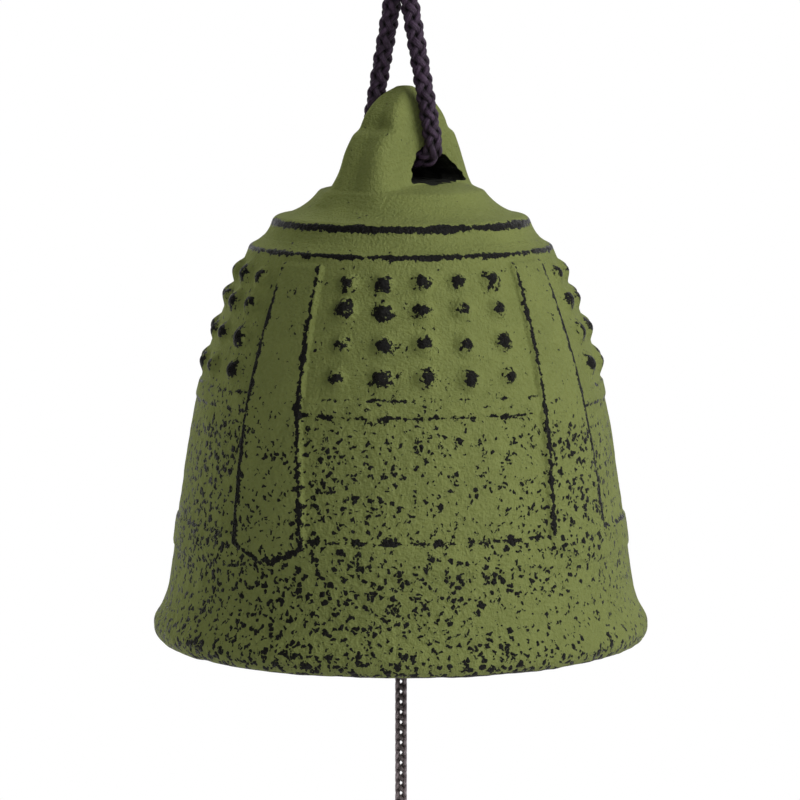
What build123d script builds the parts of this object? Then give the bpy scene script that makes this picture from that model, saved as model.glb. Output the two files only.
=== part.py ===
from build123d import *
import os

# A cast-iron wind bell shaped like a temple bell, hung on a doubled cord, with a
# clapper inside and a paper wind catcher on the clapper's cord. Sizes are in mm.
# Heights are measured up from the plane of the bell's mouth. At the end everything
# is lowered so that the origin is where a hook bears in the hanging loop.
# +Z is up, and the hole through the bell's lug runs along Y.

# Hanging loop and hanging cord
hook_height = 117.5  # where the hook bears
cord_r = 1.25
hook_bend_r = 3.7  # centreline of the cord over the hook
lug_bend_r = 1.9  # centreline of the cord round the edge of the lug's hole
hanger_knot_h = 89.5
hanger_knot_r = 3.6
knot_sunk = 0.75  # how deep a knot's proud turns lie in it, as a share of the cord's radius
knot_tilt = 14  # degrees, of the two turns of the large knot
joint_gap = 0.1  # between a knot and a cord that swings on it
# Routes of the cord as (y, height): over the hook, and down through the lug and up again
hook_route = [(-1.4, 92.7), (-3.9, 116.3), (-1.67, 118.75), (1.67, 118.75), (3.9, 116.3), (1.4, 92.7)]
lug_route = [(-1.25, 86.3), (-5.65, 66.2), (-4.45, 64.7), (4.45, 64.7), (5.65, 66.2), (1.25, 86.3)]

# Outside of the bell, as radius and height
crown_top = (0, 61.6)
crown_mid = (6.0, 61.2)
crown_edge = (10.6, 60.1)
crown_cove = (13.0, 58.2)  # the crown sinks in a hollow curve to the upper step's top
step_top = (16.0, 57.2)
step_bulge = (16.8, 57.0)
upper_step = (17.2, 56.6)
upper_step_foot = (17.5, 55.7)
cove_mid = (18.5, 54.3)
lower_step = (20.3, 53.2)
body_points = [(20.6, 52.3), (23.3, 46.0), (26.2, 37.8), (28.4, 27.9), (30.2, 15.4), (31.2, 7.9)]
flare_mid = (31.9, 5.4)
lip_top = (33.1, 3.1)
lip_mid = (33.25, 1.3)
lip_foot = (32.3, 0)

# Inside of the bell
mouth = (30.0, 0)
inner_points = [mouth, (28.9, 4.5), (27.6, 15.0), (25.8, 27.5), (23.4, 38.0), (20.2, 46.5), (16.4, 51.6)]
inner_crown_mid = (9.0, 55.0)
inner_crown_top = (0, 56.6)

# Relief on the body
panels = 4
band_rise = 0.5
band_top = (3.2, 51.9)  # half width and height
band_foot = (5.45, 15.7)
band_tip = 13.1
belts = [(32.9, 35.1), (12.9, 17.0)]  # lower and upper edge
belt_rise = 0.35
relief_root = 1.0  # how deep the relief is rooted in the wall
stud_r = 1.7
stud_rise = 0.95
stud_rows = [49.8, 46.3, 42.1, 37.8]
stud_columns = 5
stud_pitch = 12.7  # degrees

# Lug, as height, half width along X, and half thickness at the ends and in the middle
shoulder = [
    (57.5, 11.6, 5.4, 7.4),
    (59.5, 10.6, 4.8, 6.8),
    (61.0, 9.8, 4.15, 5.95),
    (63.0, 9.2, 3.5, 4.8),
    (65.8, 8.3, 3.1, 4.15),
    (67.3, 7.5, 2.95, 3.9),
    (68.7, 6.4, 2.8, 3.5),
]
head = [
    (67.9, 5.7, 2.7, 3.55),
    (69.6, 5.0, 2.6, 3.4),
    (71.9, 3.9, 2.2, 2.85),
    (73.6, 2.5, 1.6, 2.1),
    (74.5, 1.2, 0.8, 1.1),
]
hole_floor = (6.0, 61.5)  # half width and height
hole_side = (2.3, 65.0)
bight_h = 64.7  # centreline of the cord through the hole
hole_top_r = cord_r + 0.2
hole_flare = (3.3, 5.6)  # from the bell's axis, where the hole's top starts and ends widening

# Clapper and what carries it
eye_wire_r = 0.6
eye_bow_r = 1.9
eye_h = 54.5  # centre of the eye's bow
eye_leg_top = 59.0
thin_cord_r = 0.8
eye_loop_r = 1.45
eye_loop_slack = 0.05  # the loop's cord is pulled this much thinner
clapper_knot_h = 48.8
small_knot_r = 1.5
clapper_h = 14.5
clapper_r = 11.0
clapper_rim = 2.2  # thickness at the rim
clapper_hub_r = 3.2
clapper_hub = 3.0  # thickness at the hub
clapper_bore_r = 0.95
stop_knot_h = 11.6

# Wind catcher
paper_knot_h = -25.0
paper_loop_r = 1.0
paper_loop_cord_r = 0.55
paper_bight_h = -33.0
paper_hole_r = 1.5
paper_margin = 5.0  # from the hole's top to the paper's top edge
paper_gap = 0.05
paper_size = (28.0, 0.3, 92.0)


def at(r, h):
    return Vector(r, 0, h)


def spun(*outline):
    """What a closed outline beside the bell's axis sweeps when it turns about it."""
    edges = [edge for piece in outline for edge in piece.edges()]
    return revolve(Face(Wire(edges)), Axis.Z)


def body_curve(rise=0.0):
    return Spline([at(r + rise, h) for r, h in body_points])


def outer_form():
    """The bell's outside without its relief, solid to the axis."""
    return spun(
        ThreePointArc(at(*crown_top), at(*crown_mid), at(*crown_edge)),
        ThreePointArc(at(*crown_edge), at(*crown_cove), at(*step_top)),
        ThreePointArc(at(*step_top), at(*step_bulge), at(*upper_step)),
        Line(at(*upper_step), at(*upper_step_foot)),
        ThreePointArc(at(*upper_step_foot), at(*cove_mid), at(*lower_step)),
        Line(at(*lower_step), at(*body_points[0])),
        body_curve(),
        ThreePointArc(at(*body_points[-1]), at(*flare_mid), at(*lip_top)),
        ThreePointArc(at(*lip_top), at(*lip_mid), at(*lip_foot)),
        Line(at(*lip_foot), at(0, 0)),
        Line(at(0, 0), at(*crown_top)),
    )


def inner_form():
    """The hollow of the bell."""
    return spun(
        Line(at(0, 0), at(*mouth)),
        Spline([at(r, h) for r, h in inner_points]),
        ThreePointArc(at(*inner_points[-1]), at(*inner_crown_mid), at(*inner_crown_top)),
        Line(at(*inner_crown_top), at(0, 0)),
    )


def on_body(h):
    """The point of the body's outline at a height, and the outward normal there."""
    curve, above, below = body_curve(), 0.0, 1.0
    while below - above > 1e-6:
        middle = (above + below) / 2
        if curve.position_at(middle).Z > h:
            above = middle
        else:
            below = middle
    along = curve.tangent_at(above)
    return curve.position_at(above), Vector(-along.Z, 0, along.X)


def bands():
    """Raised upright bands, wider downwards, each ending in a shallow point."""
    (top_r, top_h), (foot_r, foot_h) = body_points[0], body_points[-1]
    skin = spun(
        body_curve(band_rise),
        Line(at(foot_r + band_rise, foot_h), at(foot_r - relief_root, foot_h)),
        body_curve(-relief_root),
        Line(at(top_r - relief_root, top_h), at(top_r + band_rise, top_h)),
    )
    (top_x, top_z), (foot_x, foot_z) = band_top, band_foot
    corners = [(-top_x, top_z), (-foot_x, foot_z), (0, band_tip), (foot_x, foot_z), (top_x, top_z)]
    outline = Face(Wire.make_polygon([at(x, z) for x, z in corners]))
    tie = extrude(outline, amount=lip_mid[0], dir=(0, -1, 0))
    return [Rot(0, 0, 360 / panels * i) * (skin & tie) for i in range(panels)]


def belt(low, high):
    """A raised belt round the body, with sloping edges."""
    foot, top = on_body(low)[0].X, on_body(high)[0].X
    outline = [
        (foot - relief_root, low),
        (foot, low),
        (foot + belt_rise, low + belt_rise),
        (top + belt_rise, high - belt_rise),
        (top, high),
        (top - relief_root, high),
    ]
    return revolve(Face(Wire.make_polygon([at(r, h) for r, h in outline])), Axis.Z)


def studs():
    """Rows of round studs on the panels between the bands."""
    made = []
    for h in stud_rows:
        point, normal = on_body(h)
        centre = point - normal * (stud_r - stud_rise)
        for panel in range(panels):
            for column in range(stud_columns):
                turn = 45 + 360 / panels * panel + stud_pitch * (column - (stud_columns - 1) / 2)
                made.append(Rot(0, 0, turn) * Pos(centre) * Sphere(stud_r))
    return made


def lug_section(h, half_width, end, middle):
    """A level slice of the lug: straight ends and crowned long sides."""
    signs = [(-1, -1), (1, -1), (1, 1), (-1, 1)]
    corners = [Vector(i * half_width, j * end, h) for i, j in signs]
    return Face(
        Wire(
            [
                ThreePointArc(corners[0], Vector(0, -middle, h), corners[1]),
                Line(corners[1], corners[2]),
                ThreePointArc(corners[2], Vector(0, middle, h), corners[3]),
                Line(corners[3], corners[0]),
            ]
        )
    )


def lug():
    """The lug: broad shoulders on a flared foot, and a narrower head above a ledge."""
    return loft([lug_section(*s) for s in shoulder]) + loft([lug_section(*s) for s in head])


def lug_hole():
    """The hole for the cord: flat floor, sloping sides and a round top that widens at both mouths."""
    (floor_x, floor_h), (side_x, side_h) = hole_floor, hole_side
    sides = [(-floor_x, floor_h), (floor_x, floor_h), (side_x, side_h), (-side_x, side_h)]
    depth = 2 * shoulder[0][3]
    slot_face = Face(Wire.make_polygon([at(x, z) for x, z in sides]))
    slot = extrude(slot_face, amount=depth, dir=(0, 1, 0), both=True)
    bore = Pos(0, 0, bight_h) * Rot(90, 0, 0) * Cylinder(hole_top_r, 2 * depth)
    start, end = hole_flare
    widening = [
        Pos(0, side * (start + end) / 2, bight_h)
        * Rot(-90 * side, 0, 0)
        * Cone(hole_top_r, hole_top_r + end - start, end - start)
        for side in (-1, 1)
    ]
    return [slot, bore, *widening]


def tube(edges, radius):
    """A round rod along a path of straight runs joined by tangent arcs."""
    path = Wire(edges)
    end = Plane(path.position_at(0), z_dir=path.tangent_at(0))
    return sweep(end * Circle(radius), path=path)


def cord(route, bend_r, radius):
    """A tight cord along a route in the YZ plane, with every corner rounded alike."""
    radii = [bend_r] * (len(route) - 2)
    print("cord bend radii", radii)
    return tube(FilletPolyline([Vector(0, y, h) for y, h in route], radius=radii).edges(), radius)


def straight_cord(top, foot):
    return Pos(0, 0, (top + foot) / 2) * Cylinder(thin_cord_r, top - foot)


def clear_of(h, knot_r):
    """The space that a knot at a height turns in."""
    return Pos(0, 0, h) * Sphere(knot_r + joint_gap)


def knot(h, radius, strand_r, tilts):
    """A tight round knot, with a turn of the cord standing proud of it at each tilt."""
    made = Sphere(radius)
    for tilt in tilts:
        made += Rot(0, tilt, 0) * Torus(radius - strand_r * knot_sunk, strand_r)
    return Pos(0, 0, h) * made


def u_bend(half_gap, bend_h, wire_r, up):
    """Two upright legs in the YZ plane joined by a half-round bend below them."""
    ends = [Vector(0, side * half_gap, bend_h) for side in (-1, 1)]
    rise = Vector(0, 0, up)
    bottom = Vector(0, 0, bend_h - half_gap)
    bend = ThreePointArc(ends[0], bottom, ends[1])
    return tube([Line(ends[0] + rise, ends[0]), bend, Line(ends[1], ends[1] + rise)], wire_r)


def make_bell(eye):
    """The one casting: shell, stepped crown, lug and all the relief, round the eye's legs."""
    made = outer_form() + studs() + bands()
    for low, high in belts:
        made += belt(low, high)
    made = made + lug() - inner_form()
    for tool in lug_hole():
        made -= tool
    return made - eye


def make_clapper():
    """A round iron clapper, thicker round its bore, with a rounded rim."""
    rim, hub, edge = clapper_rim / 2, clapper_hub / 2, clapper_r - clapper_rim / 2
    half = [(clapper_bore_r, -hub), (clapper_hub_r, -hub), (clapper_hub_r + hub, -rim), (edge, -rim)]
    lower = [at(r, h) for r, h in half]
    upper = [at(r, -h) for r, h in reversed(half)]
    round_rim = ThreePointArc(lower[-1], at(clapper_r, 0), upper[0])
    return Pos(0, 0, clapper_h) * spun(Polyline(lower), round_rim, Polyline([*upper, lower[0]]))


def make_paper():
    """The wind catcher: a plain paper strip, hanging by a punched hole near its top."""
    width, thickness, length = paper_size
    hole_top = paper_bight_h + paper_loop_cord_r + paper_gap
    sheet = Pos(0, 0, hole_top + paper_margin - length / 2) * Box(width, thickness, length)
    hole = Pos(0, 0, hole_top - paper_hole_r) * Rot(90, 0, 0) * Cylinder(paper_hole_r, 2 * width)
    return sheet - hole


def make_parts():
    """Every piece under its name, with heights still measured from the mouth."""
    eye = u_bend(eye_bow_r, eye_h, eye_wire_r, eye_leg_top - eye_h)
    hanger_space = clear_of(hanger_knot_h, hanger_knot_r)
    clapper_space = clear_of(clapper_knot_h, small_knot_r)
    stop_space = clear_of(stop_knot_h, small_knot_r)
    paper_space = clear_of(paper_knot_h, small_knot_r)
    clapper = make_clapper()
    stop_knot = knot(stop_knot_h, small_knot_r, thin_cord_r, [0]) - clapper
    bend_h = paper_bight_h + paper_loop_r
    paper_loop = u_bend(paper_loop_r, bend_h, paper_loop_cord_r, paper_knot_h - bend_h)
    eye_loop = Rot(90, 0, 0) * Torus(eye_loop_r, thin_cord_r - eye_loop_slack)
    return {
        "hanging_loop": cord(hook_route, hook_bend_r, cord_r) - hanger_space,
        "hanger_knot": knot(hanger_knot_h, hanger_knot_r, cord_r, [knot_tilt, -knot_tilt]),
        "hanging_cord": cord(lug_route, lug_bend_r, cord_r) - hanger_space,
        "bell": make_bell(eye),
        "clapper_eye": eye,
        "eye_loop": Pos(0, 0, eye_h - eye_bow_r) * eye_loop,
        "clapper_knot": knot(clapper_knot_h, small_knot_r, thin_cord_r, [0]),
        "clapper_cord": straight_cord(clapper_knot_h, stop_knot_h) - clapper_space - stop_knot,
        "clapper": clapper,
        "stop_knot": stop_knot,
        "tail_cord": straight_cord(stop_knot_h, paper_knot_h) - stop_space - paper_space,
        "paper_knot": knot(paper_knot_h, small_knot_r, thin_cord_r, []),
        "paper_loop": paper_loop - paper_space,
        "wind_paper": make_paper(),
    }


def main():
    os.makedirs("parts", exist_ok=True)
    for name, solid in make_parts().items():
        export_step(Pos(0, 0, -hook_height) * solid, f"parts/{name}.step")


if __name__ == "__main__":
    main()
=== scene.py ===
from itertools import product
from math import radians

import bmesh
import bpy
import numpy as np
from bpy.props import FloatProperty, FloatVectorProperty, IntProperty, PointerProperty
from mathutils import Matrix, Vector


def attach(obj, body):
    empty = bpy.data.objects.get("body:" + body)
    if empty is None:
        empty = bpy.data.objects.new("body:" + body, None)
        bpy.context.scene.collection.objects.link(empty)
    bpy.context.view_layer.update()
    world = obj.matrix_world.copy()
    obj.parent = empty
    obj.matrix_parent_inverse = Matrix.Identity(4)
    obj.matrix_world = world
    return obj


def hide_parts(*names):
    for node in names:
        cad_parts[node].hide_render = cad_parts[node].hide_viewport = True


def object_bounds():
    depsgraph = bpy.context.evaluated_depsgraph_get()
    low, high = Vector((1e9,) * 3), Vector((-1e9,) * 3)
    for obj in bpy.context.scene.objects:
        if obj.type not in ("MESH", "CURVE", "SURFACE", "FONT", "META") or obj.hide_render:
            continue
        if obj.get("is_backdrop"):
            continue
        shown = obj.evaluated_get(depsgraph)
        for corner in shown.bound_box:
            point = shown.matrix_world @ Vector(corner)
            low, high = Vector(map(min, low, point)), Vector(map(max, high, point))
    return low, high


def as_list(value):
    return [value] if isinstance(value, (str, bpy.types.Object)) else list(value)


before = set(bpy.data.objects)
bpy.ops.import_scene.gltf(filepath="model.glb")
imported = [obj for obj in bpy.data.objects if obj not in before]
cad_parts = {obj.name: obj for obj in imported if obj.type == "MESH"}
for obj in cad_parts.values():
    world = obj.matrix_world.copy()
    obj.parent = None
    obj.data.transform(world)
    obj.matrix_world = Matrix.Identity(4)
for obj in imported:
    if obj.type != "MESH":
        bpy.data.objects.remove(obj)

bl_info = {
    "name": "Cast-iron wind bell",
    "version": (1, 0, 0),
    "blender": (4, 5, 0),
    "location": "3D View > Sidebar > Wind bell",
    "description": "Makes the surfaces, cords and finishes of a hanging cast-iron wind bell",
    "category": "Add Mesh",
}

CAD_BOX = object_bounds()
MM = 0.001
HOOK = 117.5  # height of the hook above the mouth; the shapes are worked out in mm above the mouth
PHOTO_SIDE = Vector((-0.788, -0.616, 0))  # from the bell towards the camera
PHOTO_RIGHT = Vector((0.616, -0.788, 0))

# Outline of the casting, as radius and height
CROWN = [(0, 61.6), (6.0, 61.4), (11.05, 60.5)]
CROWN_COVE = [CROWN[-1], (13.2, 58.35), (16.0, 57.2)]
STEP = [CROWN_COVE[-1], (16.8, 57.0), (17.2, 56.6)]
COVE = [(17.5, 55.7), (18.5, 54.3), (20.3, 53.2)]
BODY = [(20.6, 52.3), (23.3, 46.0), (26.2, 37.8), (28.4, 27.9), (30.2, 15.4), (31.2, 7.9)]
FLARE = [BODY[-1], (31.9, 5.4), (33.1, 3.1)]
LIP = [FLARE[-1], (33.25, 1.3), (32.3, 0)]
HOLLOW = [(30.0, 0), (28.9, 4.5), (27.6, 15.0), (25.8, 27.5), (23.4, 38.0), (20.2, 46.5), (16.4, 51.6)]
HOLLOW_CROWN = [HOLLOW[-1], (9.0, 55.0), (0, 56.6)]
JOIN_TOP = 57.6  # where the hidden cone between the crown and the wall meets the axis
OUTLINE_STEP = 0.05  # mm between the outline's points once it is sampled
SPLIT, BODY_FOOT, MOUTH, LIP_EDGE = (18.5, 54.3), (31.2, 7.9), (30.0, 0), (32.3, 0)

# Rows of the wall's grid: a point of the outline and how many rows lead to it
WALL_ROWS = [
    (SPLIT, 0), ((19.8, 53.45), 4), ((20.75, 51.95), 10), ((26.76, 36.0), 46), ((26.9, 35.4), 2),
    ((27.45, 32.6), 12), ((29.95, 17.4), 18), ((30.6, 12.5), 18), (BODY_FOOT, 7), ((33.1, 3.1), 10),
    (LIP_EDGE, 14), (MOUTH, 5), ((28.9, 4.5), 4), ((27.6, 15.0), 4), ((23.4, 38.0), 6),
    ((16.4, 51.6), 7), ((9.0, 55.0), 5), ((0, 56.6), 5),
]
# Columns of a quarter of the wall: panel, edge, band, edge, panel
WALL_COLUMNS = [46, 12, 24, 12, 46]
# Rows of the crown and lug: lowest height, highest height, number
CROWN_ROWS = [
    (54.3, 55.5, 6), (55.5, 56.9, 10), (56.9, 58.4, 18), (58.4, 61.8, 30),
    (61.8, 67.2, 24), (67.2, 69.4, 26), (69.4, 73.6, 18), (73.6, 74.3, 8),
]
CROWN_COLUMNS = 480

# Lug, as height, half width, and half thickness at the ends and in the middle
SHOULDER = [
    (57.5, 11.8, 5.6, 7.4), (59.5, 10.8, 5.0, 6.8), (61.0, 10.1, 4.35, 5.95), (63.0, 9.5, 3.7, 4.8),
    (65.8, 8.6, 3.3, 4.15), (67.3, 7.8, 3.15, 3.9), (68.7, 7.0, 3.0, 3.5),
]
HEAD = [
    (66.0, 6.8, 3.2, 4.1), (67.3, 6.5, 3.1, 3.9), (68.7, 6.1, 2.95, 3.5), (70.2, 5.6, 2.65, 3.2),
    (71.6, 4.6, 2.35, 2.8), (73.0, 3.1, 1.85, 2.1), (73.9, 1.7, 1.15, 1.3), (74.3, 0.8, 0.5, 0.6),
]
LEDGE = 68.4  # where the shoulders end; the head leans a little to one side

# Cored hole, its floor, right and left side as (x, height)
HOLE_FLOOR = [(-5.1, 61.7), (-2.0, 61.5), (2.0, 61.5), (7.0, 61.7)]
HOLE_RIGHT = [(6.7, 62.3), (5.6, 63.2), (4.6, 64.3), (3.4, 65.2), (2.2, 65.9)]
HOLE_LEFT = [(-0.7, 66.3), (-2.6, 65.8), (-3.3, 64.6), (-4.2, 63.4), (-4.9, 62.4)]
HOLE_CENTRE = np.array([0.6, 63.6])
HOLE_SKEW = -0.195  # how far the hole drifts along X for each mm along Y

# Relief on the wall
BELTS = [(32.9, 35.1, 0.08, 0.05), (12.9, 17.0, -0.2, 0.17)]  # heights, and how bare each edge is
BAND_TOP = (3.2, 51.9)  # half width and height
BAND_FOOT = (5.75, 15.7)
BAND_TIP = 13.1  # height of the point at a band's foot
BAND_LEANS = ((0.8, 0.3), (-0.9, -0.4), (3.2, 0.5), (-0.8, -1.2))  # degrees off true at foot and middle
BAND_LINE = 0.33  # how far inside a band's edge its worn line runs
STUD_ROWS = [49.8, 46.3, 42.1, 37.8]
STUD_COLUMNS = 5
STUD_TURN = radians(12.7)  # angle from one column of studs to the next
STUD_REACH = 2.0
QUARTERS = 4

# Wear: worn_mm is how far inside a bare edge a point lies, speckle how dense the bare spots are
UNWORN = -3
SPECKLE_HEIGHTS = [0, 2, 4.5, 8, 11, 15, 30, 33, 36, 52, 54]
SPECKLES = [1.1, 1.0, 0.78, 0.82, 0.92, 0.87, 0.84, 0.6, 0.4, 0.2, 0]

# Routes of the cords as (y, height), a point near each tight corner, their ends inside the knots
HOOK_ROUTE = [(-1.3, 90.9), (-3.55, 113.0), (-3.9, 116.3), (-1.67, 118.75)]
LUG_ROUTE = [(-0.9, 88.1), (-5.24, 68.1), (-5.65, 66.2), (-4.45, 64.7), (-2.53, 64.7)]
PAPER_ROUTE = [(-0.55, -25.7), (-1.0, -27.4), (-1.0, -32.45), (-0.45, -33.0)]
CLAPPER_ROUTE = [(0, 48.4), (0, 30.0), (0, 12.1)]
TAIL_ROUTE = [(0, 11.1), (0, -6.0), (0, -24.1)]
THICK_RADIUS, THICK_STRAND, THICK_STEP = 1.37, 0.41, 0.14
THIN_HALF_WIDTH, THIN_STRAND, THIN_STEP = 0.8, 0.275, 0.1
LOOP_RADIUS, LOOP_STRAND, LOOP_STEP = 0.55, 0.19, 0.08
HANGER_KNOT = 89.5
THIN_KNOT_BRAID = 140, 0.72, 0.25  # points along the line, radius of the braid and of a strand
EYE_RING, EYE_RING_HEIGHT, EYE_RING_POINTS = 1.45, 52.6, 96
EYE_HALF_WIDTH, EYE_STRAND = 0.7, 0.24
THICK_DIAMETER, THIN_DIAMETER = 0.0025, 0.0016  # in m
STRAND_SHIFT = 37.0  # mm from one strand's fibre pattern to the next one's
PRESSED = 0.9  # how flat a strand is pressed in the thick braid and knots

# Knots of the thin cord: node, body, height, and the line's ring, reach and lift
THIN_KNOTS = (
    ("clapper_knot", "swivel", 48.8, (0.62, 0.3, 0.62)),
    ("stop_knot", "clapper", 11.6, (0.62, 0.3, 0.5)),
    ("paper_knot", "paper_swivel", -25.0, (0.5, 0.25, 0.6)),
)

PAPER_TOP, PAPER_BOTTOM, PAPER_HALF_WIDTH, PAPER_THICKNESS = -27.4, -119.4, 14, 0.3
PUNCH_HEIGHT, PUNCH_RADIUS = -33.9, 1.5

# Camera and lights
AIM_HEIGHT, CAMERA_HEIGHT, CAMERA_DISTANCE = 32.1, 98.4, 560
LENS, SENSOR, SIDEWAYS = 188.3, 36, -0.00125
LAMP_DISTANCE = 0.8
LAMP_CENTRE = Vector((0, 0, -0.085))
LAMPS = (  # name, direction as right, near and up in the photograph, size in m, power in W
    ("key", 0.80, 0.40, 0.52, 0.80, 7.2),
    ("fill", 0.00, 0.90, 0.40, 0.60, 1.5),
    ("left_edge", -0.76, -0.64, 0.12, 0.50, 5.0),
    ("back_top", 0.00, -0.72, 0.69, 0.40, 1.4),
)
ROOM_LIGHT = 0.12  # how brightly the white room lights matt surfaces
FLOOR_DEPTH, FLOOR_HALF, FLOOR_POINTS = 257, 340, 9


# Shapes

def linear(colour):
    """An sRGB hex colour as linear red, green, blue and alpha."""
    rgb = np.array([int(colour[i:i + 2], 16) for i in (1, 3, 5)]) / 255
    return (*np.where(rgb > 0.04045, ((rgb + 0.055) / 1.055) ** 2.4, rgb / 12.92), 1.0)


def spline_through(points, shares):
    """A natural cubic spline through the points, at shares of its chord length from 0 to 1."""
    p = np.asarray(points, float)
    steps = np.linalg.norm(np.diff(p, axis=0), axis=1)
    t = np.concatenate([[0], np.cumsum(steps)])
    last = len(t) - 1
    inside = np.arange(1, last)
    system = np.zeros((last + 1, last + 1))
    system[0, 0] = system[last, last] = 1
    system[inside, inside - 1] = steps[:-1]
    system[inside, inside] = 2 * (steps[:-1] + steps[1:])
    system[inside, inside + 1] = steps[1:]
    slopes = np.diff(p, axis=0) / steps[:, None]
    bend = np.zeros_like(p)
    bend[1:-1] = 6 * np.diff(slopes, axis=0)
    bend = np.linalg.solve(system, bend)
    x = np.clip(shares, 0, 1) * t[-1]
    k = np.clip(np.searchsorted(t, x) - 1, 0, last - 1)
    before, after, step = (x - t[k])[:, None], (t[k + 1] - x)[:, None], steps[k][:, None]
    curve = (bend[k] * after**3 + bend[k + 1] * before**3) / (6 * step)
    curve += (p[k] / step - bend[k] * step / 6) * after
    return curve + (p[k + 1] / step - bend[k + 1] * step / 6) * before


def arc_through(points, count=200):
    """The circular arc through three points, found from the circle's centre and its angles."""
    a, b, c = np.asarray(points, float)
    system = 2 * np.array([b - a, c - a])
    centre = np.linalg.solve(system, [b @ b - a @ a, c @ c - a @ a])
    angles = np.unwrap([np.arctan2(*(p - centre)[::-1]) for p in (a, b, c)])
    turn = np.linspace(angles[0], angles[2], count)
    return centre + np.linalg.norm(a - centre) * np.stack([np.cos(turn), np.sin(turn)], -1)


def evenly(points, step):
    """A polyline sampled again at one even step along its length."""
    p = np.asarray(points, float)
    s = np.concatenate([[0], np.cumsum(np.linalg.norm(np.diff(p, axis=0), axis=1))])
    at = np.linspace(0, s[-1], max(2, int(round(s[-1] / step)) + 1))
    return np.stack([np.interp(at, s, p[:, k]) for k in range(p.shape[1])], -1)


def blurred(points, reach):
    """A polyline blurred along itself by a bell curve, so that its corners turn round."""
    weights = np.exp(-np.linspace(-3, 3, 2 * reach + 1) ** 2 / 2)
    weights /= weights.sum()
    padded = np.pad(points, ((reach, reach), (0, 0)), "edge")
    return np.stack([np.convolve(padded[:, k], weights, "valid") for k in range(points.shape[1])], -1)


def unit(vectors):
    return vectors / np.linalg.norm(vectors, axis=1, keepdims=True)


def circle(count):
    """Evenly spaced angles, once round."""
    return np.linspace(0, 2 * np.pi, count, endpoint=False)


def turned(r, angle, h):
    """Points of a radius and height, turned about the axis by an angle."""
    return np.stack([r * np.cos(angle), r * np.sin(angle), h + 0 * angle], -1)


def smoothstep(x, low, high):
    """Rises smoothly from 0 at low to 1 at high, or the other way where low is the larger."""
    t = np.clip((x - low) / (high - low), 0, 1)
    return t * t * (3 - 2 * t)


def lumps(points, size, seed):
    """Smooth random values from -1 to 1: numbers on a lattice of the size, blended in between."""
    lattice = np.random.default_rng(seed).uniform(-1, 1, (48, 48, 48))
    cell = np.floor(points / size).astype(int)
    f = points / size - cell
    f = f * f * f * (f * (f * 6 - 15) + 10)
    total = np.zeros(points.shape[:-1])
    for corner in product((0, 1), repeat=3):
        weight = np.prod(np.where(corner, f, 1 - f), axis=-1)
        total += weight * lattice[tuple((cell[..., k] + corner[k]) % 48 for k in range(3))]
    return total


def grid_faces(rows, columns, closed):
    """Four-cornered faces of a grid of points, joined round its columns where it is closed."""
    i, j = np.meshgrid(np.arange(rows - 1), np.arange(columns if closed else columns - 1), indexing="ij")
    right = (j + 1) % columns
    corners = [i * columns + j, i * columns + right, (i + 1) * columns + right, (i + 1) * columns + j]
    return np.stack(corners, -1).reshape(-1, 4)


def in_frame(points):
    """Points in mm above the mouth as metres in the shared frame."""
    return (points - (0, 0, HOOK)) * MM


def add_piece(name, points, faces, materials, fields=None, material_rows=None):
    """Puts points in mm and faces into a mesh object at the origin, with number fields on its points."""
    mesh = bpy.data.meshes.new(name)
    vertices = in_frame(points.reshape(-1, 3))
    mesh.from_pydata(vertices, [], faces)
    for material in materials:
        mesh.materials.append(material)
    if material_rows is not None:
        mesh.polygons.foreach_set("material_index", material_rows.astype(np.int32))
    for field, values in (fields or {}).items():
        layer = mesh.attributes.new(field, "FLOAT", "POINT")
        layer.data.foreach_set("value", values.astype(np.float32).ravel())
    work = bmesh.new()
    work.from_mesh(mesh)
    bmesh.ops.remove_doubles(work, verts=work.verts, dist=1e-7)
    bmesh.ops.dissolve_degenerate(work, edges=work.edges, dist=1e-8)
    bmesh.ops.recalc_face_normals(work, faces=work.faces)
    work.to_mesh(mesh)
    work.free()
    mesh.shade_smooth()
    piece = bpy.data.objects.new(name, mesh)
    bpy.context.collection.objects.link(piece)
    return piece


def cut(piece, cutter):
    """Takes the cutter's shape out of a piece; the new faces keep the cutter's material."""
    modifier = piece.modifiers.new("hole", "BOOLEAN")
    modifier.object = cutter
    modifier.solver = "EXACT"
    modifier.material_mode = "TRANSFER"
    bpy.context.view_layer.update()
    evaluated = piece.evaluated_get(bpy.context.evaluated_depsgraph_get())
    made = bpy.data.meshes.new_from_object(evaluated)
    piece.modifiers.clear()
    piece.data = made
    made.name = piece.name
    made.set_sharp_from_angle(angle=radians(50))
    bpy.data.objects.remove(cutter)


def carry(piece, body, node, slot):
    """The piece moves with a body and hides the CAD node that it stands in for; the slot is not used."""
    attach(piece, body)
    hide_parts(node)


# The casting

def casting_outline():
    """Radius and height from the crown's top over the lip and up the hollow, with its corners softened."""
    parts = [
        arc_through(CROWN),
        arc_through(CROWN_COVE),
        arc_through(STEP),
        arc_through(COVE),
        spline_through(BODY, np.linspace(0, 1, 400)),
        arc_through(FLARE),
        arc_through(LIP),
        spline_through(HOLLOW, np.linspace(0, 1, 400)),
        arc_through(HOLLOW_CROWN),
    ]
    outline = blurred(evenly(np.concatenate(parts), OUTLINE_STEP), 16)
    outline[[0, -1], 0] = 0
    return outline


def nearest(outline, point):
    """Index of the outline's point that lies nearest to a point."""
    return int(np.argmin(np.linalg.norm(outline - point, axis=1)))


def band_width(h):
    """Half width of an upright band at a height, along the wall."""
    return np.interp(h, [BAND_FOOT[1], BAND_TOP[1]], [BAND_FOOT[0], BAND_TOP[0]])


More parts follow.
